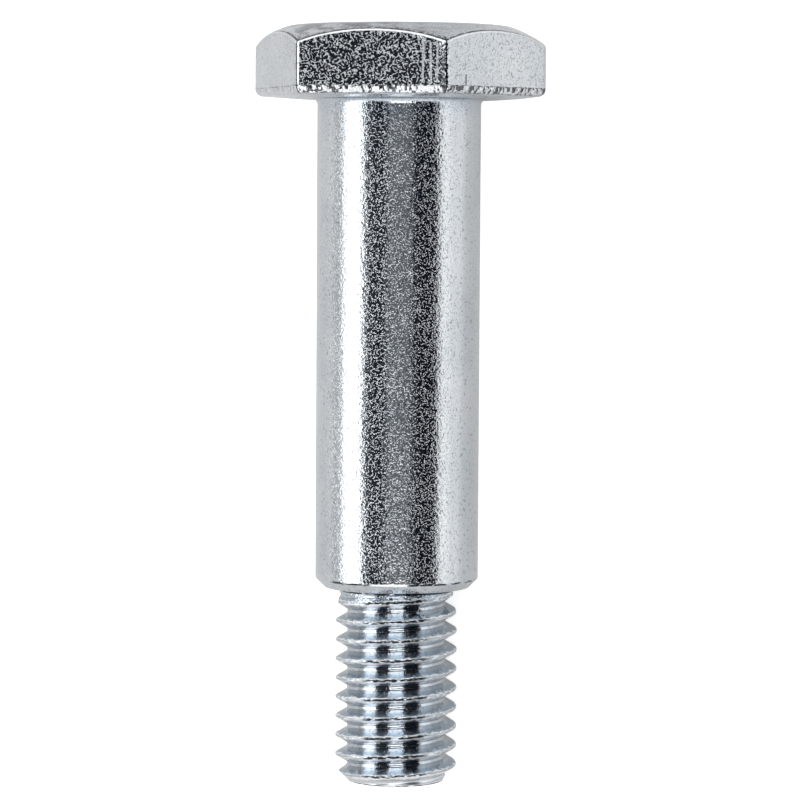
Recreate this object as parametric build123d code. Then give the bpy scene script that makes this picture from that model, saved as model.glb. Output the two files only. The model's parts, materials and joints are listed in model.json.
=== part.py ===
"""Hex-head shoulder bolt, forged, turned and thread-rolled in one piece (sizes in mm).

The bolt is drawn upright about its own axis first. Its bearing face lies at z = 0, the head
stands above it, and the shoulder, the neck and the thread hang below. It is then laid down
the way it comes to rest: on one flat of the head and on the first lower edge that meets the
floor. The origin stays on the axis at the bearing face, which is where its fit is measured.
"""
from build123d import *
import os
from math import asin, atan2, ceil, cos, degrees, hypot, radians, sin, tan

# Head
ACROSS_FLATS = 16.8
HEAD_HEIGHT = 4.7
TOP_FLAT_DIA = 14.2
CROWN_START_ANGLE = 17.0
CROWN_RADIUS = 8.0
TOP_RIM_ROUND = 0.5
LOWER_EDGE_ROUND = 0.45
HEX_CORNER_ROUND = LOWER_EDGE_ROUND + 0.05  # a little larger, so that the lower round can turn it
BEARING_FLAT_DIA = 13.6
BEARING_RELIEF_ANGLE = 3.5
UNDER_HEAD_FILLET = 0.4

# Shoulder, the plain bearing length that gives the bolt its name
SHOULDER_DIA = 10.6
SHOULDER_LENGTH = 31.7
SHOULDER_CHAMFER = 0.6

# Neck and thread, M8 x 1.25 right hand, rolled on a blank of about the pitch diameter
THREAD_MAJOR_DIA = 7.92
THREAD_PITCH = 1.25
THREAD_ANGLE = 60.0
THREAD_DEPTH = 0.77
ROOT_FLAT = 0.2
THREAD_CLOCKING = -98.0
NECK_DIA = 7.4
NECK_LENGTH = 0.4
NECK_TAPER_ANGLE = 45.0
RUN_OUT_LENGTH = 1.6
THREADED_LENGTH = 12.7
TIP_CHAMFER = 0.85

# How far a joining or cutting body reaches past the face it has to cover
OVERLAP = 0.5

# Worked out from the sizes above
FLAT_TO_AXIS = ACROSS_FLATS / 2
SHOULDER_RADIUS = SHOULDER_DIA / 2
NECK_RADIUS = NECK_DIA / 2
CREST_RADIUS = THREAD_MAJOR_DIA / 2
ROOT_RADIUS = CREST_RADIUS - THREAD_DEPTH
SHOULDER_END = -SHOULDER_LENGTH
CHAMFER_START = SHOULDER_END + SHOULDER_CHAMFER
NECK_END = SHOULDER_END - NECK_LENGTH
BOLT_END = SHOULDER_END - THREADED_LENGTH
TIP_START = BOLT_END + TIP_CHAMFER


def revolved(points):
    """Turn a closed outline of (radius, height) points about the bolt's axis."""
    outline = make_face(Plane.XZ * Polyline(*points, close=True))
    return revolve(outline, axis=Axis.Z)


def make_head():
    """Hexagon with a crowned top, softened corners and a rounded, relieved lower edge."""
    hexagon = RegularPolygon(FLAT_TO_AXIS, 6, major_radius=False)
    hexagon = fillet(hexagon.vertices(), HEX_CORNER_ROUND)
    prism = extrude(hexagon, HEAD_HEIGHT)
    prism = fillet(prism.edges().group_by(Axis.Z)[0], LOWER_EDGE_ROUND)

    # The crown leaves a round top face, and it cuts each side of the hexagon in an arch
    top_radius = TOP_FLAT_DIA / 2
    lean = radians(CROWN_START_ANGLE)
    centre_radius = top_radius - CROWN_RADIUS * sin(lean)
    centre_height = HEAD_HEIGHT - CROWN_RADIUS * cos(lean)
    floor_height = min(centre_height, -OVERLAP)
    halfway = (radians(90) + lean) / 2
    crown = Plane.XZ * (
        Polyline((top_radius, HEAD_HEIGHT), (0, HEAD_HEIGHT), (0, floor_height - OVERLAP),
                 (centre_radius + CROWN_RADIUS, floor_height - OVERLAP),
                 (centre_radius + CROWN_RADIUS, centre_height))
        + ThreePointArc(
            (centre_radius + CROWN_RADIUS, centre_height),
            (centre_radius + CROWN_RADIUS * sin(halfway), centre_height + CROWN_RADIUS * cos(halfway)),
            (top_radius, HEAD_HEIGHT),
        )
    )
    crown = revolve(make_face(crown), axis=Axis.Z)
    crown = fillet(crown.edges().group_by(Axis.Z)[-1], TOP_RIM_ROUND)

    # The underside is flat round the shoulder and climbs a little towards its rim
    flat_radius = BEARING_FLAT_DIA / 2
    climb = (ACROSS_FLATS - flat_radius) * tan(radians(BEARING_RELIEF_ANGLE))
    relief = revolved([
        (flat_radius, 0),
        (ACROSS_FLATS, climb),
        (ACROSS_FLATS, -OVERLAP),
        (flat_radius, -OVERLAP),
    ])
    return (prism & crown) - relief


def make_shoulder():
    """Plain cylinder, chamfered at its end and carried up into the head."""
    return revolved([
        (0, OVERLAP),
        (SHOULDER_RADIUS, OVERLAP),
        (SHOULDER_RADIUS, CHAMFER_START),
        (SHOULDER_RADIUS - SHOULDER_CHAMFER, SHOULDER_END),
        (0, SHOULDER_END),
    ])


def make_neck():
    """Unthreaded neck, which tapers to inside the root so that the groove fades out of it."""
    core_radius = ROOT_RADIUS / 2
    taper_drop = (NECK_RADIUS - core_radius) * tan(radians(NECK_TAPER_ANGLE))
    return revolved([
        (0, SHOULDER_END + OVERLAP),
        (NECK_RADIUS, SHOULDER_END + OVERLAP),
        (NECK_RADIUS, NECK_END),
        (core_radius, NECK_END - taper_drop),
        (0, NECK_END - taper_drop),
    ])


def helix_turn(radius, height):
    """One turn of the thread's right-hand helix, which starts over the X axis."""
    return Edge.make_helix(THREAD_PITCH, THREAD_PITCH, radius, center=(0, 0, height))


def threaded_rod(bottom, turns):
    """Plain threaded rod: root, flanks and crest are ruled between helices, turn by turn."""
    flank_rise = THREAD_DEPTH * tan(radians(THREAD_ANGLE / 2))
    profile = [
        (ROOT_RADIUS, 0),
        (ROOT_RADIUS, ROOT_FLAT),
        (CREST_RADIUS, ROOT_FLAT + flank_rise),
        (CREST_RADIUS, THREAD_PITCH - flank_rise),
        (ROOT_RADIUS, THREAD_PITCH),
    ]
    faces = []
    for turn in range(turns):
        start = bottom + turn * THREAD_PITCH
        helices = [helix_turn(radius, start + rise) for radius, rise in profile]
        for lower, upper in zip(helices, helices[1:]):
            faces.append(Face.make_surface_from_curves(lower, upper))

    # Each end is closed by one turn of a helicoid and a flat step in the thread's profile
    for end in (bottom, bottom + turns * THREAD_PITCH):
        axis_edge = Edge.make_line((0, 0, end), (0, 0, end + THREAD_PITCH))
        faces.append(Face.make_surface_from_curves(axis_edge, helix_turn(ROOT_RADIUS, end)))
        step = [(0, 0, end), (0, 0, end + THREAD_PITCH)]
        step += [(radius, 0, end + rise) for radius, rise in reversed(profile)]
        faces.append(Face(Wire.make_polygon(step, close=True)))
    return Solid(Shell(faces))


def make_thread():
    """Rolled thread, cut from the rod by an outline with its run-out and its end chamfer."""
    turns = ceil(THREADED_LENGTH / THREAD_PITCH) + 4
    rod = threaded_rod(BOLT_END - 2 * THREAD_PITCH, turns).rotate(Axis.Z, THREAD_CLOCKING)

    # The crests next to the neck are not rolled up to their full height
    outer_radius = CREST_RADIUS + OVERLAP
    run_out_slope = RUN_OUT_LENGTH / (CREST_RADIUS - NECK_RADIUS)
    hidden_radius = (ROOT_RADIUS + NECK_RADIUS) / 2
    outline = revolved([
        (0, SHOULDER_END + OVERLAP),
        (hidden_radius, SHOULDER_END + OVERLAP),
        (hidden_radius, NECK_END),
        (NECK_RADIUS, NECK_END),
        (outer_radius, NECK_END - (outer_radius - NECK_RADIUS) * run_out_slope),
        (outer_radius, TIP_START + OVERLAP),
        (CREST_RADIUS - TIP_CHAMFER, BOLT_END),
        (0, BOLT_END),
    ])
    return rod & outline


def make_bolt():
    """The whole bolt, upright about its axis, with the fillet under the head."""
    bolt = make_head() + make_shoulder()
    under_head = bolt.edges().filter_by(GeomType.CIRCLE).filter_by_position(Axis.Z, 0, 0)
    bolt = fillet(under_head.sort_by(SortBy.RADIUS)[0], UNDER_HEAD_FILLET)
    return bolt + (make_thread() + make_neck())


def tilt_onto(radius, distance):
    """Tilt at which an edge of this radius meets the floor under a bolt resting on its head.

    The head touches on the round of its lower edge, whose centre is inset from both faces.
    """
    rise = FLAT_TO_AXIS - LOWER_EDGE_ROUND - radius
    run = distance + LOWER_EDGE_ROUND
    return degrees(atan2(rise, run) + asin(LOWER_EDGE_ROUND / hypot(rise, run)))


# The bolt rolls onto a flat and tips down until its shoulder or its thread meets the floor
resting_tilt = min(
    tilt_onto(SHOULDER_RADIUS, -CHAMFER_START),
    tilt_onto(CREST_RADIUS, -TIP_START),
)
shoulder_bolt = make_bolt().rotate(Axis.X, resting_tilt - 90)

os.makedirs("parts", exist_ok=True)
export_step(shoulder_bolt.solid(), "parts/shoulder_bolt.step")
print(f"shoulder_bolt: {shoulder_bolt.volume:.0f} mm3, resting tilt {resting_tilt:.3f} degrees")
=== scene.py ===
# %% [markdown]
# # A zinc-plated shoulder bolt
#
# A shoulder bolt is a pin, a screw and a clamp in one piece of steel. The plain shoulder carries
# a wheel or a lever, the smaller thread holds the bolt in a frame, and the hex head keeps the
# wheel on. The solid model gives every size. This script builds a finer skin over it, gives it
# its zinc plate, and lights it like a small studio subject.
#
# The model is loaded first.

# %% Load the measured model
import bmesh
import bpy
import json
from math import atan2, cos, degrees, hypot, pi, radians, sin, sqrt, tan
from mathutils import Matrix, Vector


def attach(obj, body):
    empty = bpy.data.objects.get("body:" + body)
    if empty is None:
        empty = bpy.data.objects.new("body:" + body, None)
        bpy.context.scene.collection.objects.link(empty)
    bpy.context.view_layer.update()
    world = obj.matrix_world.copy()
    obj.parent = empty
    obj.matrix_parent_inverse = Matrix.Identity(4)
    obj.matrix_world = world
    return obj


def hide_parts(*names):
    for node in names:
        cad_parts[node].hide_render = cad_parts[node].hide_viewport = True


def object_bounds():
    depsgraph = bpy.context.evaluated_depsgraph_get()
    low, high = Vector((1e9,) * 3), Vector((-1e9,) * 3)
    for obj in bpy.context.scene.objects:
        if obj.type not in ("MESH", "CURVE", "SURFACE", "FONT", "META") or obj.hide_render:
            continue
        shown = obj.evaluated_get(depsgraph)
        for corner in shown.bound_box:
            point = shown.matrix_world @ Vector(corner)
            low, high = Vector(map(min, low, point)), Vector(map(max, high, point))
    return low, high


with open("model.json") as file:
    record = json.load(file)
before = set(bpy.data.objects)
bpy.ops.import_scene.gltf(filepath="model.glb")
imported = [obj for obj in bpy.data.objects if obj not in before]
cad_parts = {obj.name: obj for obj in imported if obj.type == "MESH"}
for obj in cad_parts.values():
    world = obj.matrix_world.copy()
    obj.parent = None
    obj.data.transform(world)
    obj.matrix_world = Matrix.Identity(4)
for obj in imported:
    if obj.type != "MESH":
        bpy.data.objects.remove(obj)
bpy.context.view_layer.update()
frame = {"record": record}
mounts = {mount["name"]: mount for mount in frame["record"]["mounts"]}

# %% [markdown]
# ## One upright working frame
#
# The bolt lies on the floor, a few degrees off level. It is far easier to shape a turned part
# upright, with its axis on Z, so the skin is modelled in millimetres on the Z axis with the
# bearing face at zero. One matrix at the end shrinks it to metres and lays it where the model is.

# %% The matrix that lays the upright bolt down
towards_head = -Vector(mounts["bearing_face"]["axis"])
LAY_DOWN = Matrix.Rotation(atan2(-towards_head.y, towards_head.z), 4, "X") @ Matrix.Scale(0.001, 4)
climb = degrees(atan2(towards_head.z, towards_head.y))
print("the axis climbs by", round(climb, 3), "degrees towards the head")

# %% [markdown]
# ## The sizes
#
# These are the sizes of the solid, in millimetres. The shoulder's radius and length come from
# the model's own record, so that the skin can't drift away from the part that it stands for.

# %% Sizes of head, shoulder and thread, in millimetres
ACROSS_FLATS = 16.8
HEAD_HEIGHT = 4.7
TOP_FLAT_RADIUS = 7.1
CROWN_RADIUS = 8.0
CROWN_LEAN = radians(17)
CORNER_ROUND = 0.5
LOWER_ROUND = 0.45
BEARING_FLAT_RADIUS = 6.8
BEARING_RELIEF = radians(3.5)
UNDER_HEAD_FILLET = 0.4

SHOULDER_RADIUS = mounts["shoulder"]["dims"]["r_mm"]
SHOULDER_END = -1000 * Vector(mounts["shoulder_end"]["pos_m"]).length
SHOULDER_CHAMFER = 0.6

PITCH = 1.25
CREST_RADIUS = 3.96
ROOT_RADIUS = 3.19
ROOT_FLAT = 0.2
NECK_RADIUS = 3.7
NECK_END = SHOULDER_END - 0.4
RUN_OUT_LENGTH = 1.6
BOLT_END = SHOULDER_END - 12.7
TIP_CHAMFER = 0.85
THREAD_START_ANGLE = radians(-98)
print("shoulder", SHOULDER_RADIUS * 2, "x", round(-SHOULDER_END, 2), "mm, bolt ends at", round(BOLT_END, 2))

# %% [markdown]
# ## The hexagon
#
# The head is a hexagon whose upper corners are rounded off by a shallow crown, which leaves the
# arched edges that every hex bolt shows. A boolean with a dome would do it, but would leave long
# thin triangles that shine badly. Instead the hexagon's outline is divided finely and each point
# of its top edge is lowered to where the crown passes, which gives the same arches from even
# faces. The underside climbs a little towards the rim in the same way.

# %% Outline of the hexagon
bolt = bmesh.new()


def ring_edges(bm, verts):
    """The edges that run between these vertices."""
    chosen = set(verts)
    return [edge for edge in bm.edges if edge.verts[0] in chosen and edge.verts[1] in chosen]


def next_ring(bm, verts, radius=None, height=None, inwards=None):
    """Extrudes a closed ring of vertices and moves the copy to a radius and a height."""
    made = bmesh.ops.extrude_edge_only(bm, edges=ring_edges(bm, verts))["geom"]
    ring = [item for item in made if isinstance(item, bmesh.types.BMVert)]
    for vert in ring:
        flat = vert.co.xy
        if radius is not None:
            flat = flat.normalized() * radius
        vert.co = (flat.x, flat.y, vert.co.z if height is None else height)
    return ring


bmesh.ops.create_circle(bolt, cap_ends=True, segments=6, radius=ACROSS_FLATS / 2 / cos(pi / 6))
bmesh.ops.rotate(bolt, verts=bolt.verts, matrix=Matrix.Rotation(radians(30), 3, "Z"))
bmesh.ops.bevel(bolt, geom=bolt.verts[:], affect="VERTICES", offset=CORNER_ROUND * tan(radians(30)),
                segments=6, profile=0.5, material=-1)
long_edges = [edge for edge in bolt.edges if edge.calc_length() > 1]
bmesh.ops.subdivide_edges(bolt, edges=long_edges, cuts=35)
hex_ring = bolt.verts[:]
bmesh.ops.delete(bolt, geom=bolt.faces[:], context="FACES_ONLY")
print("the hexagon's outline has", len(hex_ring), "points")

# %% Sides, crown and round top
CROWN_CENTRE_RADIUS = TOP_FLAT_RADIUS - CROWN_RADIUS * sin(CROWN_LEAN)
CROWN_CENTRE_HEIGHT = HEAD_HEIGHT - CROWN_RADIUS * cos(CROWN_LEAN)


def crown_height(radius):
    """Height of the crown at this distance from the axis."""
    return CROWN_CENTRE_HEIGHT + sqrt(CROWN_RADIUS ** 2 - (radius - CROWN_CENTRE_RADIUS) ** 2)


arch_ring = next_ring(bolt, hex_ring)
for vert in arch_ring:
    vert.co.z = crown_height(vert.co.xy.length)
ring = arch_ring
for share in (3 / 4, 2 / 3, 1 / 2):
    ring = next_ring(bolt, ring)
    for vert in ring:
        radius = vert.co.xy.length
        inner_radius = TOP_FLAT_RADIUS + (radius - TOP_FLAT_RADIUS) * share
        vert.co = (*(vert.co.xy * inner_radius / radius), crown_height(inner_radius))
rim_ring = next_ring(bolt, ring, TOP_FLAT_RADIUS, HEAD_HEIGHT)
centre_ring = next_ring(bolt, rim_ring, 0.6 * TOP_FLAT_RADIUS, HEAD_HEIGHT)
centre_ring = next_ring(bolt, centre_ring, 0.2 * TOP_FLAT_RADIUS, HEAD_HEIGHT)
bmesh.ops.holes_fill(bolt, edges=ring_edges(bolt, centre_ring), sides=0)
for vert in hex_ring:
    vert.co.z = (vert.co.xy.length - BEARING_FLAT_RADIUS) * tan(BEARING_RELIEF)
print("corners reach up to", round(min(v.co.z for v in arch_ring), 2), "mm above the bearing face")

# %% [markdown]
# ## The shoulder
#
# From the hexagon's lower edge the same ring of points is carried on: in across the bearing
# face, round the small fillet, down the shoulder and over its end chamfer. One ring of points
# from head to neck means one closed skin with no seams to show.

# %% Bearing face, fillet, shoulder and chamfer
ring = next_ring(bolt, hex_ring, BEARING_FLAT_RADIUS, 0)
ring = next_ring(bolt, ring, SHOULDER_RADIUS + UNDER_HEAD_FILLET, 0)
for step in range(1, 7):
    turn = radians(90) * step / 6
    ring = next_ring(bolt, ring, SHOULDER_RADIUS + UNDER_HEAD_FILLET * (1 - sin(turn)),
                     -UNDER_HEAD_FILLET * (1 - cos(turn)))
SUPPORT = 0.12
CHAMFER_START = SHOULDER_END + SHOULDER_CHAMFER
top, bottom = -UNDER_HEAD_FILLET - SUPPORT, CHAMFER_START + SUPPORT
for share in range(0, 22):
    ring = next_ring(bolt, ring, SHOULDER_RADIUS, top + (bottom - top) * share / 21)
ring = next_ring(bolt, ring, SHOULDER_RADIUS, CHAMFER_START)
chamfer_ring = ring
shoulder_face_ring = next_ring(bolt, chamfer_ring, SHOULDER_RADIUS - SHOULDER_CHAMFER, SHOULDER_END)
neck_side_ring = next_ring(bolt, shoulder_face_ring, NECK_RADIUS + 0.4, SHOULDER_END)
print("head and shoulder have", len(bolt.faces), "faces")

# %% Soft edges on the head and on the chamfer
def soften(bm, verts, width, segments):
    """Rounds the ring of edges through these vertices."""
    bmesh.ops.bevel(bm, geom=ring_edges(bm, verts), affect="EDGES", offset=width, segments=segments,
                    profile=0.5, material=-1, clamp_overlap=True)


soften(bolt, hex_ring, LOWER_ROUND, 5)
soften(bolt, arch_ring, 0.12, 3)
soften(bolt, rim_ring, 0.2, 4)
soften(bolt, chamfer_ring, 0.05, 2)
soften(bolt, shoulder_face_ring, 0.05, 2)
neck_side_ring = [v for v in bolt.verts if v.is_boundary]
print("softened skin has", len(bolt.faces), "faces and", len(neck_side_ring), "open points")

# %% [markdown]
# ## The thread
#
# A rolled thread is one groove pressed round and round. Its skin is the outline of a single
# pitch, spun about the axis while it climbs by one pitch a turn, so the top of each turn meets
# the bottom of the next and the two are merged. The crests are a little rounded. The fine seam
# that rolling leaves along them is too small for the mesh, so the finish draws it later.

# %% Outline of one pitch
flank_rise = (CREST_RADIUS - ROOT_RADIUS) * tan(radians(30))
CREST_LOW = ROOT_FLAT / 2 + flank_rise
CREST_HIGH = PITCH - CREST_LOW
pitch_outline = [
    (ROOT_RADIUS, 0),
    (ROOT_RADIUS, ROOT_FLAT / 2),
    (CREST_RADIUS - 0.04, CREST_LOW - 0.023),
    (CREST_RADIUS, CREST_LOW + 0.03),
    (CREST_RADIUS, CREST_HIGH - 0.03),
    (CREST_RADIUS - 0.04, CREST_HIGH + 0.023),
    (ROOT_RADIUS, PITCH - ROOT_FLAT / 2),
    (ROOT_RADIUS, PITCH),
]


def cut_corners(points, reach):
    """Replaces each inner corner by two points, at most this far from it."""
    cut = [points[0]]
    for before, corner, after in zip(points, points[1:], points[2:]):
        for other in (before, after):
            gap = hypot(other[0] - corner[0], other[1] - corner[1])
            share = min(reach / gap, 0.3)
            cut.append(tuple(c + (o - c) * share for c, o in zip(corner, other)))
    return cut + [points[-1]]


rounded_outline = cut_corners(cut_corners(pitch_outline, 0.05), 0.02)
print("one pitch of the thread has", len(rounded_outline), "points")

# %% Spin the outline into a thread
STEPS_PER_TURN = 120
TURNS = 13
thread = bmesh.new()
start = Matrix.Rotation(THREAD_START_ANGLE, 3, "Z")
low_end = BOLT_END - 2 * PITCH + ROOT_FLAT / 2
points = [thread.verts.new(start @ Vector((radius, 0, low_end + rise))) for radius, rise in rounded_outline]
edges = [thread.edges.new(pair) for pair in zip(points, points[1:])]
bmesh.ops.spin(thread, geom=points + edges, cent=(0, 0, 0), axis=(0, 0, 1), angle=2 * pi,
               dvec=(0, 0, PITCH / STEPS_PER_TURN), steps=STEPS_PER_TURN, use_merge=False)
first_turn = thread.verts[:] + thread.edges[:] + thread.faces[:]
for turn in range(1, TURNS):
    copied = bmesh.ops.duplicate(thread, geom=first_turn)["geom"]
    bmesh.ops.translate(thread, verts=[item for item in copied if isinstance(item, bmesh.types.BMVert)],
                        vec=(0, 0, turn * PITCH))
bmesh.ops.remove_doubles(thread, verts=thread.verts, dist=0.001)
print("the raw thread has", len(thread.faces), "faces")

# %% Run-out, neck and end chamfer
def outer_limit(height):
    """Radius of the blank at this height: run-out under the neck, chamfer at the end."""
    run_out = NECK_RADIUS + (CREST_RADIUS - NECK_RADIUS) * (NECK_END - height) / RUN_OUT_LENGTH
    end_chamfer = CREST_RADIUS - TIP_CHAMFER + (height - BOLT_END)
    return min(max(run_out, NECK_RADIUS), end_chamfer)


def neck_core(height):
    """Radius of the neck, which tapers away at 45 degrees below its end."""
    return NECK_RADIUS - max(NECK_END - height, 0)


for vert in thread.verts:
    radius = vert.co.xy.length
    fitted = max(min(radius, outer_limit(vert.co.z)), neck_core(vert.co.z))
    vert.co.xy *= fitted / radius
for height, normal in ((SHOULDER_END, 1), (BOLT_END, -1)):
    geometry = thread.verts[:] + thread.edges[:] + thread.faces[:]
    bmesh.ops.bisect_plane(thread, geom=geometry, dist=1e-5, plane_co=(0, 0, height), plane_no=(0, 0, normal),
                           clear_outer=True)
tip_rim = [edge for edge in thread.edges if edge.is_boundary and edge.verts[0].co.z < BOLT_END + 0.01]
bmesh.ops.holes_fill(thread, edges=tip_rim, sides=0)
print("the fitted thread has", len(thread.faces), "faces")

# %% [markdown]
# ## Joining and laying down
#
# The thread's open top lies in the plane of the shoulder's end face. Both halves go into one
# mesh, the flat ring between them is bridged, and the whole skin is laid down.

# %% Join head, shoulder and thread into one skin
thread_mesh = bpy.data.meshes.new("thread_part")
thread.to_mesh(thread_mesh)
thread.free()
bolt.from_mesh(thread_mesh)
open_edges = [edge for edge in bolt.edges if edge.is_boundary]
bmesh.ops.bridge_loops(bolt, edges=open_edges)
bmesh.ops.recalc_face_normals(bolt, faces=bolt.faces)
left_open = sum(edge.is_boundary or not edge.is_manifold for edge in bolt.edges)
print("joined skin:", len(bolt.faces), "faces,", left_open, "open edges")
print("it holds", round(bolt.calc_volume(), 1), "mm3")

# %% Lay it down and hand it to the frame
bmesh.ops.transform(bolt, matrix=LAY_DOWN, verts=bolt.verts)
bolt_mesh = bpy.data.meshes.new("bolt_skin")
bolt.to_mesh(bolt_mesh)
bolt.free()
bpy.data.meshes.remove(thread_mesh)
bolt_mesh.shade_smooth()
bolt_mesh.set_sharp_from_angle(angle=radians(40))
bolt_skin = bpy.data.objects.new("bolt_skin", bolt_mesh)
bpy.context.collection.objects.link(bolt_skin)
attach(bolt_skin, "root")
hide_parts("shoulder_bolt")
print("triangles in the skin:", sum(len(face.vertices) - 2 for face in bolt_mesh.polygons))

# %% [markdown]
# ## Zinc plate on steel
#
# Zinc is laid on bright and thin, so it keeps the grain of the steel under it: coarse where the
# head was forged, fine on the turned shoulder, and nearly none where dies rolled the thread.
# Every finish therefore shares the same parts. A node group is such a part: it is built once,
# with named inputs, and placed in each material with its own values.
#
# The first group gives places on the bolt: how high along the axis, how far from it, how far
# measured square to the nearest flat and how far from the nearest corner of the hexagon, all in
# millimetres, and how far round, in turns. A Mapping node stands the resting bolt upright again,
# so that these read like sizes on a drawing.

# %% Helpers for nodes and groups
def add_node(tree, kind, inputs=None, **settings):
    """Adds a node. A socket given as an input is linked, and anything else is set."""
    node = tree.nodes.new(kind)
    for name, value in settings.items():
        setattr(node, name, value)
    for name, value in (inputs or {}).items():
        if isinstance(value, bpy.types.NodeSocket):
            tree.links.new(value, node.inputs[name])
        else:
            node.inputs[name].default_value = value
    return node


def calc(tree, operation, first, second=0.0, third=0.0):
    """One step of arithmetic on numbers or sockets."""
    return add_node(tree, "ShaderNodeMath", {0: first, 1: second, 2: third}, operation=operation).outputs[0]


def times(tree, first, *others):
    """The product of masks, which is 1 only where all of them are."""
    for other in others:
        first = calc(tree, "MULTIPLY", first, other)
    return first


def noise(tree, place, scale, detail):
    """Noise from 0 to 1 with this many waves per metre."""
    inputs = {"Vector": place, "Scale": scale, "Detail": detail}
    return add_node(tree, "ShaderNodeTexNoise", inputs).outputs["Fac"]


def fade(tree, value, start, end, low=0.0, high=1.0):
    """Goes smoothly from low to high while the value goes from start to end."""
    node = add_node(tree, "ShaderNodeMapRange", {"Value": value}, interpolation_type="SMOOTHSTEP")
    for name, number in (("From Min", start), ("From Max", end), ("To Min", low), ("To Max", high)):
        if isinstance(number, bpy.types.NodeSocket):
            tree.links.new(number, node.inputs[name])
        else:
            node.inputs[name].default_value = number
    return node.outputs["Result"]


def new_group(name, inputs, outputs):
    """Starts a node group and returns it with the sockets inside it."""
    group = bpy.data.node_groups.new(name, "ShaderNodeTree")
    for label, value in inputs.items():
        kind = "NodeSocketVector" if isinstance(value, tuple) else "NodeSocketFloat"
        group.interface.new_socket(name=label, in_out="INPUT", socket_type=kind).default_value = value
    for label in outputs:
        group.interface.new_socket(name=label, in_out="OUTPUT", socket_type="NodeSocketFloat")
    return group, group.nodes.new("NodeGroupInput").outputs, group.nodes.new("NodeGroupOutput").inputs


def place_group(tree, group, inputs):
    """Places a group in a material and returns its outputs."""
    return add_node(tree, "ShaderNodeGroup", inputs, node_tree=group).outputs


# %% Group: places on the bolt
UPRIGHT = (atan2(towards_head.y, towards_head.z), 0, 0)
measures, given, result = new_group("bolt measures", {"Place": (0, 0, 0)},
                                    ["Height", "Radius", "Across", "Corner", "Turns"])
upright = add_node(measures, "ShaderNodeMapping", {"Vector": given["Place"], "Rotation": UPRIGHT,
                                                   "Scale": (1000, 1000, 1000)})
axes = add_node(measures, "ShaderNodeSeparateXYZ", {"Vector": upright.outputs["Vector"]}).outputs
flat_place = add_node(measures, "ShaderNodeCombineXYZ", {"X": axes["X"], "Y": axes["Y"]}).outputs["Vector"]
radius = add_node(measures, "ShaderNodeVectorMath", {0: flat_place}, operation="LENGTH").outputs["Value"]
flats = []
for side in (30, 90, 150):
    square_to = (cos(radians(side)), sin(radians(side)), 0)
    reach = add_node(measures, "ShaderNodeVectorMath", {0: flat_place, 1: square_to}, operation="DOT_PRODUCT")
    flats.append(calc(measures, "ABSOLUTE", reach.outputs["Value"]))
across = calc(measures, "MAXIMUM", calc(measures, "MAXIMUM", flats[0], flats[1]), flats[2])
least = calc(measures, "MINIMUM", calc(measures, "MINIMUM", flats[0], flats[1]), flats[2])
total = calc(measures, "ADD", calc(measures, "ADD", flats[0], flats[1]), flats[2])
second = calc(measures, "SUBTRACT", calc(measures, "SUBTRACT", total, least), across)
corner = calc(measures, "SUBTRACT", across, second)
turns = calc(measures, "DIVIDE", calc(measures, "ARCTAN2", axes["Y"], axes["X"]), 2 * pi)
found = {"Height": axes["Z"], "Radius": radius, "Across": across, "Corner": corner, "Turns": turns}
for label, value in found.items():
    measures.links.new(value, result[label])
print("places group has", len(measures.nodes), "nodes")

# %% [markdown]
# The second group is the grain. Plain noise alone gives soft waves. The lines where the noise
# passes its middle value wind about like worm tracks, and cutting a fine groove along them gives
# the squiggles of plated steel. The finer noise breaks them into short strokes. The pattern is
# turned to an odd angle first, because noise shows rings wherever one of its own axes meets a
# round surface squarely.

# %% Group: grain
grain, given, result = new_group("zinc grain", {"Place": (0, 0, 0), "Size": 0.2, "Folds": 0.5}, ["Height"])
askew = add_node(grain, "ShaderNodeMapping", {"Vector": given["Place"], "Rotation": (0.6, 0.5, 0.4)})
askew = askew.outputs["Vector"]
coarse_scale = calc(grain, "DIVIDE", 1000.0, given["Size"])
fine_scale = calc(grain, "MULTIPLY", coarse_scale, 1.9)
coarse, fine = noise(grain, askew, coarse_scale, 0.8), noise(grain, askew, fine_scale, 0.0)
off_middle = calc(grain, "ABSOLUTE", calc(grain, "SUBTRACT", coarse, 0.5))
tracks = times(grain, fade(grain, off_middle, 0.0, 0.06, -0.4, 0.0), given["Folds"],
               fade(grain, fine, 0.44, 0.58))
waves = calc(grain, "MULTIPLY_ADD", coarse, 0.36, tracks)
height = calc(grain, "MULTIPLY_ADD", fine, 0.15, waves)
grain.links.new(height, result["Height"])
print("grain group has", len(grain.nodes), "nodes")

# %% [markdown]
# The third group is a scratch or a line between two points, with a ragged edge. It gives 1 on
# the line and fades to 0 over its width.

# %% Group: scratch
scratch, given, result = new_group("scratch", {"Place": (0, 0, 0), "From": (0, 0, 0), "To": (0, 0, 0),
                                               "Width": 0.00005, "Raggedness": 0.5}, ["Mask"])


def arrow(tree, operation, first, second, output="Vector"):
    """One step of arithmetic on places."""
    return add_node(tree, "ShaderNodeVectorMath", {0: first, 1: second}, operation=operation).outputs[output]


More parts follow.
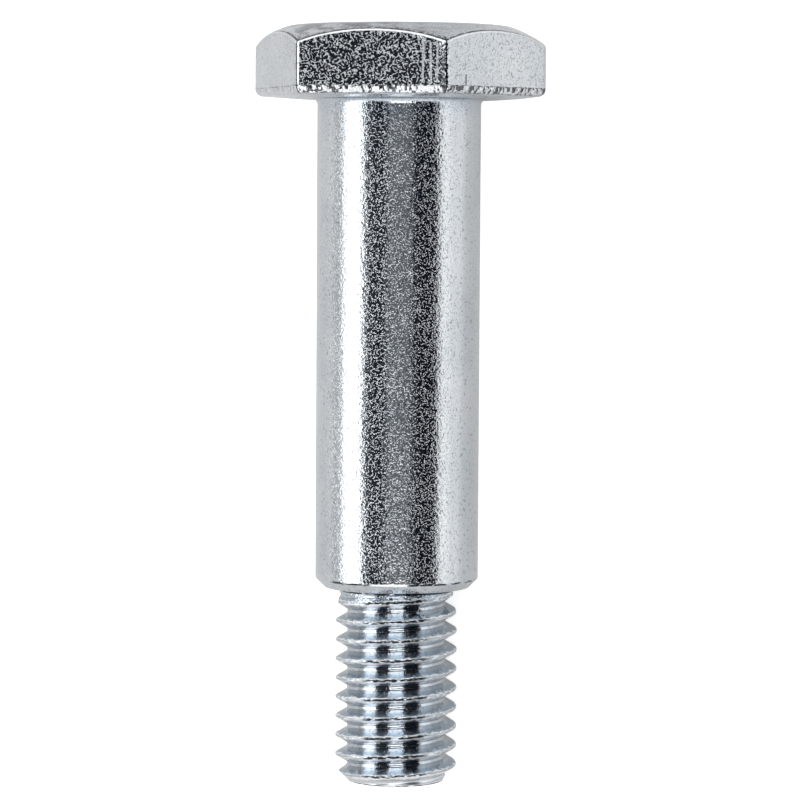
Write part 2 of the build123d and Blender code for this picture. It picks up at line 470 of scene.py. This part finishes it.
along = arrow(scratch, "SUBTRACT", given["To"], given["From"])
from_start = arrow(scratch, "SUBTRACT", given["Place"], given["From"])
length_squared = arrow(scratch, "DOT_PRODUCT", along, along, "Value")
share = calc(scratch, "DIVIDE", arrow(scratch, "DOT_PRODUCT", from_start, along, "Value"), length_squared)
share = add_node(scratch, "ShaderNodeClamp", {"Value": share}).outputs["Result"]
nearest = add_node(scratch, "ShaderNodeVectorMath", {0: along, "Scale": share}, operation="SCALE")
distance = arrow(scratch, "DISTANCE", from_start, nearest.outputs["Vector"], "Value")
thinner = calc(scratch, "MULTIPLY", noise(scratch, given["Place"], 6000.0, 1.0), given["Raggedness"])
width = calc(scratch, "MULTIPLY", given["Width"], calc(scratch, "SUBTRACT", 1.0, thinner))
scratch.links.new(fade(scratch, distance, 0.0, width, 1.0, 0.0), result["Mask"])
print("scratch group has", len(scratch.nodes), "nodes")

# %% [markdown]
# Now the finishes. Each one is a Principled shader with the grey-blue of zinc and a bump. Two
# masks are shared: one makes the zinc dark, for stains and for painted shade along edges and in
# corners, and one makes it pale and rough, for wear and for painted highlights, so that it scatters
# light instead of mirroring the room.

# %% Helpers for the finishes
CLOUD_DARK, CLOUD_PALE = (0.535, 0.565, 0.595, 1), (0.585, 0.61, 0.635, 1)
SPECK, BLUED_ZINC = (0.24, 0.26, 0.29, 1), (0.3, 0.38, 0.46, 1)
# Dark for stains and for painted shade; pale for wear and for painted highlights.
WEAR_AND_HIGHLIGHT_ZINC, STAIN_AND_SHADE = (0.92, 0.94, 0.96, 1), (0.03, 0.034, 0.04, 1)
RUBBED_ROUGHNESS = 0.5


def zinc_start(name, roughness):
    """A material with the shader of bare zinc plate, and the place on the piece."""
    material = bpy.data.materials.new(name)
    material.use_nodes = True
    tree = material.node_tree
    shader = tree.nodes["Principled BSDF"]
    shader.inputs["Metallic"].default_value = 1.0
    shader.inputs["Roughness"].default_value = roughness
    place = tree.nodes.new("ShaderNodeTexCoord").outputs["Object"]
    return material, tree, shader, place


def add_bump(tree, shader, height, depth, under=None):
    """A bump of this depth in metres, over an earlier one where there is one."""
    bump = add_node(tree, "ShaderNodeBump", {"Height": height, "Strength": 1.0, "Distance": depth})
    if under is not None:
        tree.links.new(under, bump.inputs["Normal"])
    tree.links.new(bump.outputs["Normal"], shader.inputs["Normal"])
    return bump.outputs["Normal"]


def blend(tree, mask, first, second):
    """Goes from the first colour to the second with the mask."""
    inputs = {"Factor": mask, "A": first, "B": second}
    return add_node(tree, "ShaderNodeMix", inputs, data_type="RGBA").outputs["Result"]


def zinc_tint(tree, shader, place, dark, wear_and_highlight, blued=0.0):
    """Cloudy, specked zinc: dark for stains and painted shade, pale and rough for wear and painted
    highlights, or bluer where those masks are 1.
    """
    clouds, specks = noise(tree, place, 260.0, 2.0), noise(tree, place, 5200.0, 1.0)
    colour = blend(tree, fade(tree, clouds, 0.35, 0.65), CLOUD_DARK, CLOUD_PALE)
    colour = blend(tree, fade(tree, specks, 0.58, 0.72, 0.0, 0.6), colour, SPECK)
    for mask, layer in ((blued, BLUED_ZINC), (wear_and_highlight, WEAR_AND_HIGHLIGHT_ZINC), (dark, STAIN_AND_SHADE)):
        colour = blend(tree, mask, colour, layer)
    tree.links.new(colour, shader.inputs["Base Color"])
    smooth = shader.inputs["Roughness"].default_value
    tree.links.new(fade(tree, wear_and_highlight, 0.0, 1.0, smooth, RUBBED_ROUGHNESS), shader.inputs["Roughness"])


def band(tree, value, low, high, soft):
    """1 while the value is between low and high, with soft sides."""
    return times(tree, fade(tree, value, low - soft, low), fade(tree, value, high, high + soft, 1.0, 0.0))


def streaks(tree, place, scale):
    """Noise drawn out round the axis, for anything left by turning or rolling."""
    stretched = add_node(tree, "ShaderNodeMapping", {"Vector": place, "Scale": (0.3, 1.0, 0.3)})
    return noise(tree, stretched.outputs["Vector"], scale, 2.0)


print("rubbed zinc has roughness", RUBBED_ROUGHNESS)

# %% [markdown]
# The shoulder is the plainest. Its grain is fine, and the only mark is a line where the end
# chamfer starts, drawn as a burr: dark dashes of painted shade round most of it, and a short
# stretch of painted highlight on one side. The colour turns bluer and darker towards the corner
# under the head, all the way round.

# %% Turned finish of the shoulder
turned, tree, shader, place = zinc_start("zinc_turned", 0.06)
spot = place_group(tree, measures, {"Place": place})
dashes = streaks(tree, place, 5000.0)
# The burr line: dark dashes of painted shade, and a short pale stretch of painted highlight.
burr = band(tree, spot["Height"], CHAMFER_START - 0.06, CHAMFER_START + 0.04, 0.03)
pale_highlight = band(tree, spot["Turns"], -0.262, -0.2, 0.012)
sparser = fade(tree, spot["Turns"], -0.27, -0.2, 0.3, 0.46)
burr_shadow = times(tree, burr, calc(tree, "SUBTRACT", 1.0, pale_highlight), fade(tree, dashes, sparser, 0.52),
                    fade(tree, spot["Turns"], -0.37, -0.35))
blued = fade(tree, spot["Height"], -1.6, 0.0, 0.0, 0.3)
zinc_tint(tree, shader, place, burr_shadow, calc(tree, "MULTIPLY", burr, pale_highlight), blued)
grain_height = place_group(tree, grain, {"Place": place, "Size": 0.19, "Folds": 0.48})["Height"]
add_bump(tree, shader, grain_height, 0.00005)
bolt_mesh.materials.append(turned)
print("turned finish has", len(tree.nodes), "nodes")

# %% [markdown]
# The head's finish adds what forging and trimming leave: a fine burr along each arch, drawn as a
# painted shadow under a pale line of wear and painted highlight, a ragged band where the lower
# edge was sheared, and a few scratches, with painted shade and highlights at the corners. They
# are placed by the measures on the bolt, so they follow every flat, and the painted highlights
# and shade are strongest on the uppermost flat.

# %% Group: edges of the head
edges, given, result = new_group("head edges", {"Height": 0.0, "Radius": 0.0, "Across": 0.0}, ["Past arch"])
crown_reach = calc(edges, "SUBTRACT", given["Radius"], CROWN_CENTRE_RADIUS)
crown_rise = calc(edges, "SQRT", calc(edges, "SUBTRACT", CROWN_RADIUS ** 2,
                                      calc(edges, "MULTIPLY", crown_reach, crown_reach)))
below_crown = calc(edges, "SUBTRACT", calc(edges, "ADD", crown_rise, CROWN_CENTRE_HEIGHT), given["Height"])
inside_flat = calc(edges, "SUBTRACT", ACROSS_FLATS / 2, given["Across"])
edges.links.new(calc(edges, "SUBTRACT", below_crown, inside_flat), result["Past arch"])
print("edges group has", len(edges.nodes), "nodes")

# %% Forged finish of the head
forged, tree, shader, place = zinc_start("zinc_forged", 0.06)
spot = place_group(tree, measures, {"Place": place})
edge_inputs = {name: spot[name] for name in ("Height", "Radius", "Across")}
past_arch = place_group(tree, edges, edge_inputs)["Past arch"]
ragged = noise(tree, place, 4500.0, 2.0)
# The uppermost flat gets the strongest painted highlights and painted shade.
uppermost = calc(tree, "MULTIPLY_ADD", band(tree, spot["Turns"], -0.333, -0.167, 0.004), 0.6, 0.4)
wander = calc(tree, "MULTIPLY_ADD", ragged, 0.24, -0.12)
near_arch = calc(tree, "ADD", past_arch, calc(tree, "MULTIPLY", wander, 0.4))
# Painted shadow under the burr along each arch, and wider painted shade below it.
arch_shadow = times(tree, band(tree, near_arch, -0.17, -0.08, 0.03), fade(tree, ragged, 0.34, 0.44))
burr_shade = times(tree, band(tree, near_arch, -0.36, -0.15, 0.05),
                   fade(tree, ragged, 0.45, 0.52, 0.2, 0.8), calc(tree, "SUBTRACT", uppermost, 0.3))
arch_shadow = calc(tree, "MAXIMUM", arch_shadow, burr_shade)
# A pale line on each arch: wear, and a painted highlight.
arch_wear_and_highlight = band(tree, near_arch, -0.03, 0.07, 0.03)
on_side = fade(tree, spot["Across"], ACROSS_FLATS / 2 - 0.5, ACROSS_FLATS / 2 - 0.4)
sheared_height = calc(tree, "ADD", spot["Height"], wander)
# Painted shadow: a dashed line above the sheared band, and bands along the corners.
shear_shadow = times(tree, band(tree, sheared_height, 0.66, 0.7, 0.03), fade(tree, ragged, 0.48, 0.56))
corner_shadow = times(tree, band(tree, spot["Corner"], -0.01, 0.035, 0.02), fade(tree, ragged, 0.3, 0.4))
# A painted highlight down one rounded corner.
corner_highlight = times(tree, band(tree, spot["Corner"], 0.07, 0.16, 0.03), on_side,
                    band(tree, spot["Turns"], -0.333, -0.31, 0.002), fade(tree, ragged, 0.4, 0.5, 0.2, 1.0))
side_shadows = times(tree, calc(tree, "MAXIMUM", shear_shadow, corner_shadow), on_side)
print("forged finish has", len(tree.nodes), "nodes so far")

# %% Scratches on the head
def on_flat(turned_to, sideways, height):
    """A place on the flat that faces this way, in metres on the resting bolt."""
    upright_place = Matrix.Rotation(radians(turned_to), 3, "Z") @ Vector((ACROSS_FLATS / 2, sideways, height))
    return tuple(LAY_DOWN @ upright_place)


def on_crown(turned_to, radius):
    """A place on the crown, in metres on the resting bolt."""
    upright_place = Matrix.Rotation(radians(turned_to), 3, "Z") @ Vector((radius, 0, crown_height(radius)))
    return tuple(LAY_DOWN @ upright_place)


SCRATCHES = [
    (on_crown(-121, 9.3), on_crown(-127.3, 7.15), 0.00013, 0.8),
    (on_flat(-90, 3.3, 0.9), on_flat(-90, 3.35, 3.6), 0.00009, 0.0),
    (on_flat(-90, 3.82, 0.8), on_flat(-90, 3.78, 3.3), 0.0001, 0.0),
    (on_flat(-90, 4.2, 0.9), on_flat(-90, 4.25, 3.2), 0.00009, 0.0),
    (on_flat(-30, -3.95, 1.28), on_flat(-30, -3.45, 1.33), 0.00009, 0.3),
    (on_flat(-30, -3.05, 1.35), on_flat(-30, -3.07, 0.75), 0.00011, 0.45),
]
scratched, dirty = 0.0, 0.0
for start, end, width, dirt in SCRATCHES:
    mask = place_group(tree, scratch, {"Place": place, "From": start, "To": end, "Width": width})["Mask"]
    scratched = calc(tree, "MAXIMUM", mask, scratched)
    if dirt:
        dirty = calc(tree, "MAXIMUM", calc(tree, "MULTIPLY", mask, dirt), dirty)
print("the head has", len(SCRATCHES), "scratches")

# %% Sheared band and colour of the head
slanted = add_node(tree, "ShaderNodeMapping", {"Vector": place, "Rotation": (0.25, 0.5, 0.6),
                                               "Scale": (1, 0.4, 1)})
strokes = noise(tree, slanted.outputs["Vector"], 4200.0, 1.0)
# Pale strokes in the sheared band: shear marks, with painted highlight strongest on the uppermost flat.
sheared = times(tree, band(tree, sheared_height, 0.24, 0.62, 0.08), on_side,
                fade(tree, spot["Turns"], -0.36, -0.32, 0.3, 1.0))
shear_wear_and_highlight = times(tree, sheared, fade(tree, strokes, 0.48, 0.56))
shear_dark = times(tree, sheared, fade(tree, strokes, 0.44, 0.48, 0.85, 0.0))
# Dark streaks on the crown: a smudge, with painted shade strongest on one side of the crown.
smudge_and_shade = times(tree, fade(tree, past_arch, -0.5, -0.25, 0.6, 0.0),
               fade(tree, streaks(tree, place, 2600.0), 0.42, 0.6),
               fade(tree, spot["Radius"], TOP_FLAT_RADIUS, TOP_FLAT_RADIUS + 0.5),
               calc(tree, "MULTIPLY_ADD", band(tree, spot["Turns"], -0.38, -0.24, 0.08), 0.7, 0.3))
dark_marks = [arch_shadow, side_shadows, shear_dark, smudge_and_shade, dirty]
while len(dark_marks) > 1:
    dark_marks.append(calc(tree, "MAXIMUM", dark_marks.pop(0), dark_marks.pop(0)))
# Wear and painted highlights, strongest on the uppermost flat.
wear_and_highlights = calc(tree, "MULTIPLY", calc(tree, "MAXIMUM", arch_wear_and_highlight, shear_wear_and_highlight), uppermost)
zinc_tint(tree, shader, place, dark_marks[0], calc(tree, "MAXIMUM", wear_and_highlights, corner_highlight))
calm = calc(tree, "SUBTRACT", 1.0, arch_wear_and_highlight)
grain_height = place_group(tree, grain, {"Place": place, "Size": 0.23, "Folds": 2.3})["Height"]
surface = add_bump(tree, shader, calc(tree, "MULTIPLY", grain_height, calm), 0.00006)
surface = add_bump(tree, shader, calc(tree, "MULTIPLY", sheared, strokes), 0.0002, surface)
add_bump(tree, shader, calc(tree, "SUBTRACT", 1.0, scratched), 0.00005, surface)
bolt_mesh.materials.append(forged)
print("forged finish now has", len(tree.nodes), "nodes")

# %% [markdown]
# The thread is bluer and smoother, because rolling squeezes it bright, and the flank that faces the
# head is bluer and darker still, as painted shade. Along every crest the dies leave a rough pale
# strip with a dark seam in it, where the metal pushed up from both sides just meets; the seam is
# drawn darker on one part of the round as painted shade, and a dashed line of painted shade lies
# in the corner under the shoulder's end. The place in the pitch is found from the height and the
# turns, so it climbs with the helix.

# %% Rolled finish of the thread
rolled, tree, shader, place = zinc_start("zinc_rolled", 0.1)
spot = place_group(tree, measures, {"Place": place})
pitch_start = low_end / PITCH - THREAD_START_ANGLE / (2 * pi)
pitches = calc(tree, "SUBTRACT", calc(tree, "DIVIDE", spot["Height"], PITCH), spot["Turns"])
phase = calc(tree, "FRACT", calc(tree, "SUBTRACT", pitches, pitch_start))
off_crest = calc(tree, "MULTIPLY", calc(tree, "SUBTRACT", phase, 0.5), PITCH)
dashes = streaks(tree, place, 7500.0)
ragged_crest = calc(tree, "ADD", off_crest, calc(tree, "MULTIPLY_ADD", dashes, 0.36, -0.18))
on_crest = fade(tree, spot["Radius"], 3.25, 3.4)
# The crest seam, with painted shade that makes it darker on one part of the round.
seam_and_shade = times(tree, band(tree, ragged_crest, -0.075, 0.055, 0.02), fade(tree, dashes, 0.39, 0.43),
             calc(tree, "MULTIPLY_ADD", band(tree, spot["Turns"], -0.29, -0.15, 0.03), 0.55, 0.45), on_crest)
strip = times(tree, band(tree, ragged_crest, -0.22, 0.1, 0.03), on_crest)
# Painted shade: a dashed dark line in the corner under the shoulder's end face.
neck_corner_shade = times(tree, band(tree, spot["Height"], SHOULDER_END - 0.22, SHOULDER_END, 0.02),
                        fade(tree, spot["Radius"], 3.75, 3.85, 1.0, 0.0), fade(tree, dashes, 0.3, 0.4))
end_edge = times(tree, band(tree, spot["Height"], BOLT_END + 0.02, BOLT_END + 0.07, 0.02),
                 fade(tree, dashes, 0.45, 0.5), fade(tree, spot["Radius"], 2.8, 2.9))
strip = calc(tree, "MAXIMUM", strip, fade(tree, spot["Height"], BOLT_END + 0.35, BOLT_END + 0.5, 0.6, 0.0))
stains_and_shade = calc(tree, "MAXIMUM", calc(tree, "MAXIMUM", seam_and_shade, neck_corner_shade), end_edge)
# Painted shade: the flank facing the head is bluer and darker.
blued = calc(tree, "MULTIPLY_ADD", band(tree, off_crest, 0.14, 0.28, 0.1), 0.6, 0.15)
zinc_tint(tree, shader, place, stains_and_shade, calc(tree, "MULTIPLY", strip, 0.8), blued)
grain_height = place_group(tree, grain, {"Place": place, "Size": 0.3, "Folds": 0.3})["Height"]
surface = add_bump(tree, shader, grain_height, 0.00002)
near_neck = fade(tree, spot["Height"], NECK_END - 1.2, NECK_END, 0.05, 1.0)
surface = add_bump(tree, shader, calc(tree, "MULTIPLY", dashes, near_neck), 0.00012, surface)
add_bump(tree, shader, calc(tree, "SUBTRACT", 1.0, seam_and_shade), 0.00003, surface)
bolt_mesh.materials.append(rolled)
print("rolled finish has", len(tree.nodes), "nodes")

# %% Give each face its finish
back = LAY_DOWN.inverted()
for face in bolt_mesh.polygons:
    height = (back @ face.center).z
    face.material_index = 1 if height > -0.01 else 0 if height > SHOULDER_END + 0.001 else 2
slots = [face.material_index for face in bolt_mesh.polygons]
print("faces per finish:", [slots.count(slot) for slot in range(3)])

# %% [markdown]
# ## Floor
#
# The bolt lies on plain white paper. Paper only scatters light, so the floor is a rough white
# surface with a little glow of its own. The sides of the shoulder mirror it, so the glow changes
# across the floor: dim near the bolt, a little brighter on the left, and brighter on the right
# in two steps. The camera sees it evenly white, as if the backdrop had its own lamp.

# %% Floor
floor_bm = bmesh.new()
bmesh.ops.create_grid(floor_bm, x_segments=1, y_segments=1, size=1.5)
bmesh.ops.translate(floor_bm, verts=floor_bm.verts, vec=(0, 0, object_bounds()[0][2]))
floor_mesh = bpy.data.meshes.new("floor")
floor_bm.to_mesh(floor_mesh)
floor_bm.free()
floor = bpy.data.objects.new("floor", floor_mesh)
bpy.context.collection.objects.link(floor)
paper = bpy.data.materials.new("paper")
paper.use_nodes = True
paper_shader = paper.node_tree.nodes["Principled BSDF"]
paper_shader.inputs["Base Color"].default_value = (0.5, 0.5, 0.5, 1)
paper_shader.inputs["Roughness"].default_value = 1.0
paper_shader.inputs["Specular IOR Level"].default_value = 0.0
paper_shader.inputs["Emission Color"].default_value = (1, 1, 1, 1)
tree = paper.node_tree
seen = tree.nodes.new("ShaderNodeLightPath").outputs["Is Camera Ray"]
place = tree.nodes.new("ShaderNodeTexCoord").outputs["Object"]
across_floor = add_node(tree, "ShaderNodeSeparateXYZ", {"Vector": place}).outputs["X"]
left_glow = calc(tree, "ADD", fade(tree, across_floor, -0.014, -0.006, 0.17, 0.05),
                 fade(tree, across_floor, -0.055, -0.03, 0.07, 0.0))
right_glow = calc(tree, "ADD", fade(tree, across_floor, 0.0, 0.008, 0.0, 0.22),
                  fade(tree, across_floor, 0.022, 0.029, 0.0, 0.26))
glow = calc(tree, "MULTIPLY_ADD", seen, 0.7, calc(tree, "MAXIMUM", left_glow, right_glow))
tree.links.new(glow, paper_shader.inputs["Emission Strength"])
floor_mesh.materials.append(paper)
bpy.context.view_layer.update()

# %% [markdown]
# ## Studio
#
# Polished metal shows its surroundings and little else, so the surroundings are the lighting.
# Round the bolt's axis stand a bright panel on the left, black cards, a grey gap where the
# camera is, and a wide pale panel on the right. Above the head and beyond the end it is light.
# The world's colour is painted by direction: the angle round the axis picks the panel.

# %% World
def ramp(tree, fac, stops):
    """Colour ramp with stops given as (position, grey value or colour) pairs."""
    node = tree.nodes.new("ShaderNodeValToRGB")
    elements = node.color_ramp.elements
    while len(elements) < len(stops):
        elements.new(1.0)
    for element, (position, value) in zip(elements, stops):
        element.position = position
        element.color = (*value, 1) if isinstance(value, tuple) else (value, value, value, 1)
    tree.links.new(fac, node.inputs["Fac"])
    return node.outputs["Color"]


world = bpy.data.worlds.new("studio")
bpy.context.scene.world = world
world.use_nodes = True
tree = world.node_tree
direction = tree.nodes.new("ShaderNodeTexCoord").outputs["Generated"]
level = add_node(tree, "ShaderNodeMapping", {"Vector": direction,
                                             "Rotation": (-atan2(towards_head.z, towards_head.y), 0, 0)})
split = add_node(tree, "ShaderNodeSeparateXYZ", {"Vector": level.outputs["Vector"]}).outputs
angle = calc(tree, "ARCTAN2", split["X"], split["Z"])
round_share = calc(tree, "MULTIPLY_ADD", angle, 1 / (2 * pi), 0.5)


CAMERA_TURN = 12.2


def at(camera_degrees):
    """Place on the ramp of a direction this far round from the camera's own, towards the right."""
    return (camera_degrees + CAMERA_TURN + 180) / 360


LEFT_PANEL, CARD, LENS_GAP, RIGHT_PANEL = (at(-77), at(-56)), (at(-48), at(-20)), (at(-15), at(17)), at(63)
SKY = (0.7, 0.77, 0.84)
round_stops = [
    (0.0, SKY), (at(-134), SKY), (at(-126), 0.62), (at(-87), 0.7), (LEFT_PANEL[0], 3.0), (LEFT_PANEL[1], 3.2),
    (CARD[0], (0.08, 0.09, 0.11)), (at(-36), (0.03, 0.035, 0.046)), (CARD[1], (0.012, 0.015, 0.022)),
    (LENS_GAP[0], (0.19, 0.2, 0.215)), (LENS_GAP[1], (0.19, 0.2, 0.215)), (at(24), (0.01, 0.013, 0.02)),
    (at(57), (0.008, 0.01, 0.017)), (RIGHT_PANEL, 1.42), (at(103), 1.38), (at(109), SKY), (1.0, SKY),
]
up_stops = [
    (0.0, 1.0), (at(-98), 1.0), (LEFT_PANEL[0], 1.6), (LEFT_PANEL[1], 1.6), (CARD[0], (0.2, 0.26, 0.32)),
    (CARD[1], (0.08, 0.12, 0.17)), (LENS_GAP[0], 3.0), (LENS_GAP[1], 3.0), (at(24), (0.08, 0.12, 0.17)),
    (at(57), (0.08, 0.12, 0.17)), (RIGHT_PANEL, 1.0), (1.0, 1.0),
]
reach_stops = [
    (0.0, 0.5), (at(-55), 0.5), (CARD[0], 0.8), (CARD[1], 0.8), (LENS_GAP[0], 0.16), (LENS_GAP[1], 0.16),
    (at(20), 0.8), (at(57), 0.8), (RIGHT_PANEL, 0.5), (1.0, 0.5),
]
panels = ramp(tree, round_share, round_stops)
upper_panels = ramp(tree, round_share, up_stops)
card_reach = ramp(tree, round_share, reach_stops)
towards_end = calc(tree, "ABSOLUTE", split["Y"])
above_cards = fade(tree, towards_end, card_reach, calc(tree, "ADD", card_reach, 0.18))
lights = blend(tree, above_cards, panels, upper_panels)
end_share = calc(tree, "MULTIPLY_ADD", split["Y"], 0.5, 0.5)
end_light = ramp(tree, end_share, [(0.0, 1.0), (0.1, 1.0), (0.22, 0.0), (0.9, 0.0), (0.96, 1.0), (1.0, 1.0)])
end_level = ramp(tree, end_share, [(0.0, 1.0), (0.1, 1.5), (0.3, 1.3), (0.9, 1.5), (0.965, 1.5),
                                   (0.985, 0.15), (1.0, 0.1)])
lights = blend(tree, end_light, lights, end_level)
seen = tree.nodes.new("ShaderNodeLightPath").outputs["Is Camera Ray"]
backdrop = blend(tree, seen, lights, (0.95, 0.95, 0.95, 1))
tree.links.new(backdrop, tree.nodes["Background"].inputs["Color"])
print("the panels stand at", len(round_stops), "stops round the bolt")

# %% [markdown]
# One soft lamp overhead gives the floor its light and the bolt a faint shadow. It is hidden from
# reflections, where the panels do that work.

# %% Overhead light
top_data = bpy.data.lights.new("overhead", "AREA")
top_data.shape = "SQUARE"
top_data.size = 0.6
top_data.energy = 1.2
top_light = bpy.data.objects.new("overhead", top_data)
bpy.context.collection.objects.link(top_light)
top_light.location = (0, 0, 0.6)
top_light.visible_glossy = False
bpy.context.scene.view_settings.view_transform = "Standard"
print("overhead lamp of", top_data.energy, "W")

# %% [markdown]
# ## Camera
#
# The camera looks straight down on the resting bolt from a quarter of a metre, a little below
# the head and turned a little round the axis, so that one flat faces it and two show beside it.
# It is placed in the bolt's own upright frame and laid down with the same matrix.

# %% Camera
TURN_ROUND_AXIS = radians(CAMERA_TURN)
CAMERA_DISTANCE = 238.0
CAMERA_HEIGHT = -5.8
CAMERA_ASIDE = 0.16
CAMERA_PITCH = radians(3.3)
CAMERA_ROLL = radians(-0.33)
right = Vector((cos(TURN_ROUND_AXIS), sin(TURN_ROUND_AXIS), 0))
outwards = Vector((sin(TURN_ROUND_AXIS), -cos(TURN_ROUND_AXIS), 0))
up = Vector((0, 0, 1))
look_back = outwards * cos(CAMERA_PITCH) + up * sin(CAMERA_PITCH)
up_tilted = up * cos(CAMERA_PITCH) - outwards * sin(CAMERA_PITCH)
cam_right = right * cos(CAMERA_ROLL) - up_tilted * sin(CAMERA_ROLL)
cam_up = right * sin(CAMERA_ROLL) + up_tilted * cos(CAMERA_ROLL)
place = Matrix((cam_right, cam_up, look_back)).transposed().to_4x4()
turn_only = LAY_DOWN.to_3x3().normalized().to_4x4()
camera_data = bpy.data.cameras.new("camera")
camera_data.lens = 164.8
camera_data.sensor_width = 36
camera_data.clip_start = 0.01
camera = bpy.data.objects.new("camera", camera_data)
bpy.context.collection.objects.link(camera)
camera_place = LAY_DOWN @ (outwards * CAMERA_DISTANCE + up * CAMERA_HEIGHT + right * CAMERA_ASIDE)
camera.matrix_world = Matrix.Translation(camera_place) @ turn_only @ place
bpy.context.scene.camera = camera
print("camera at", [round(value * 1000) for value in camera.location], "mm, lens", camera_data.lens, "mm")
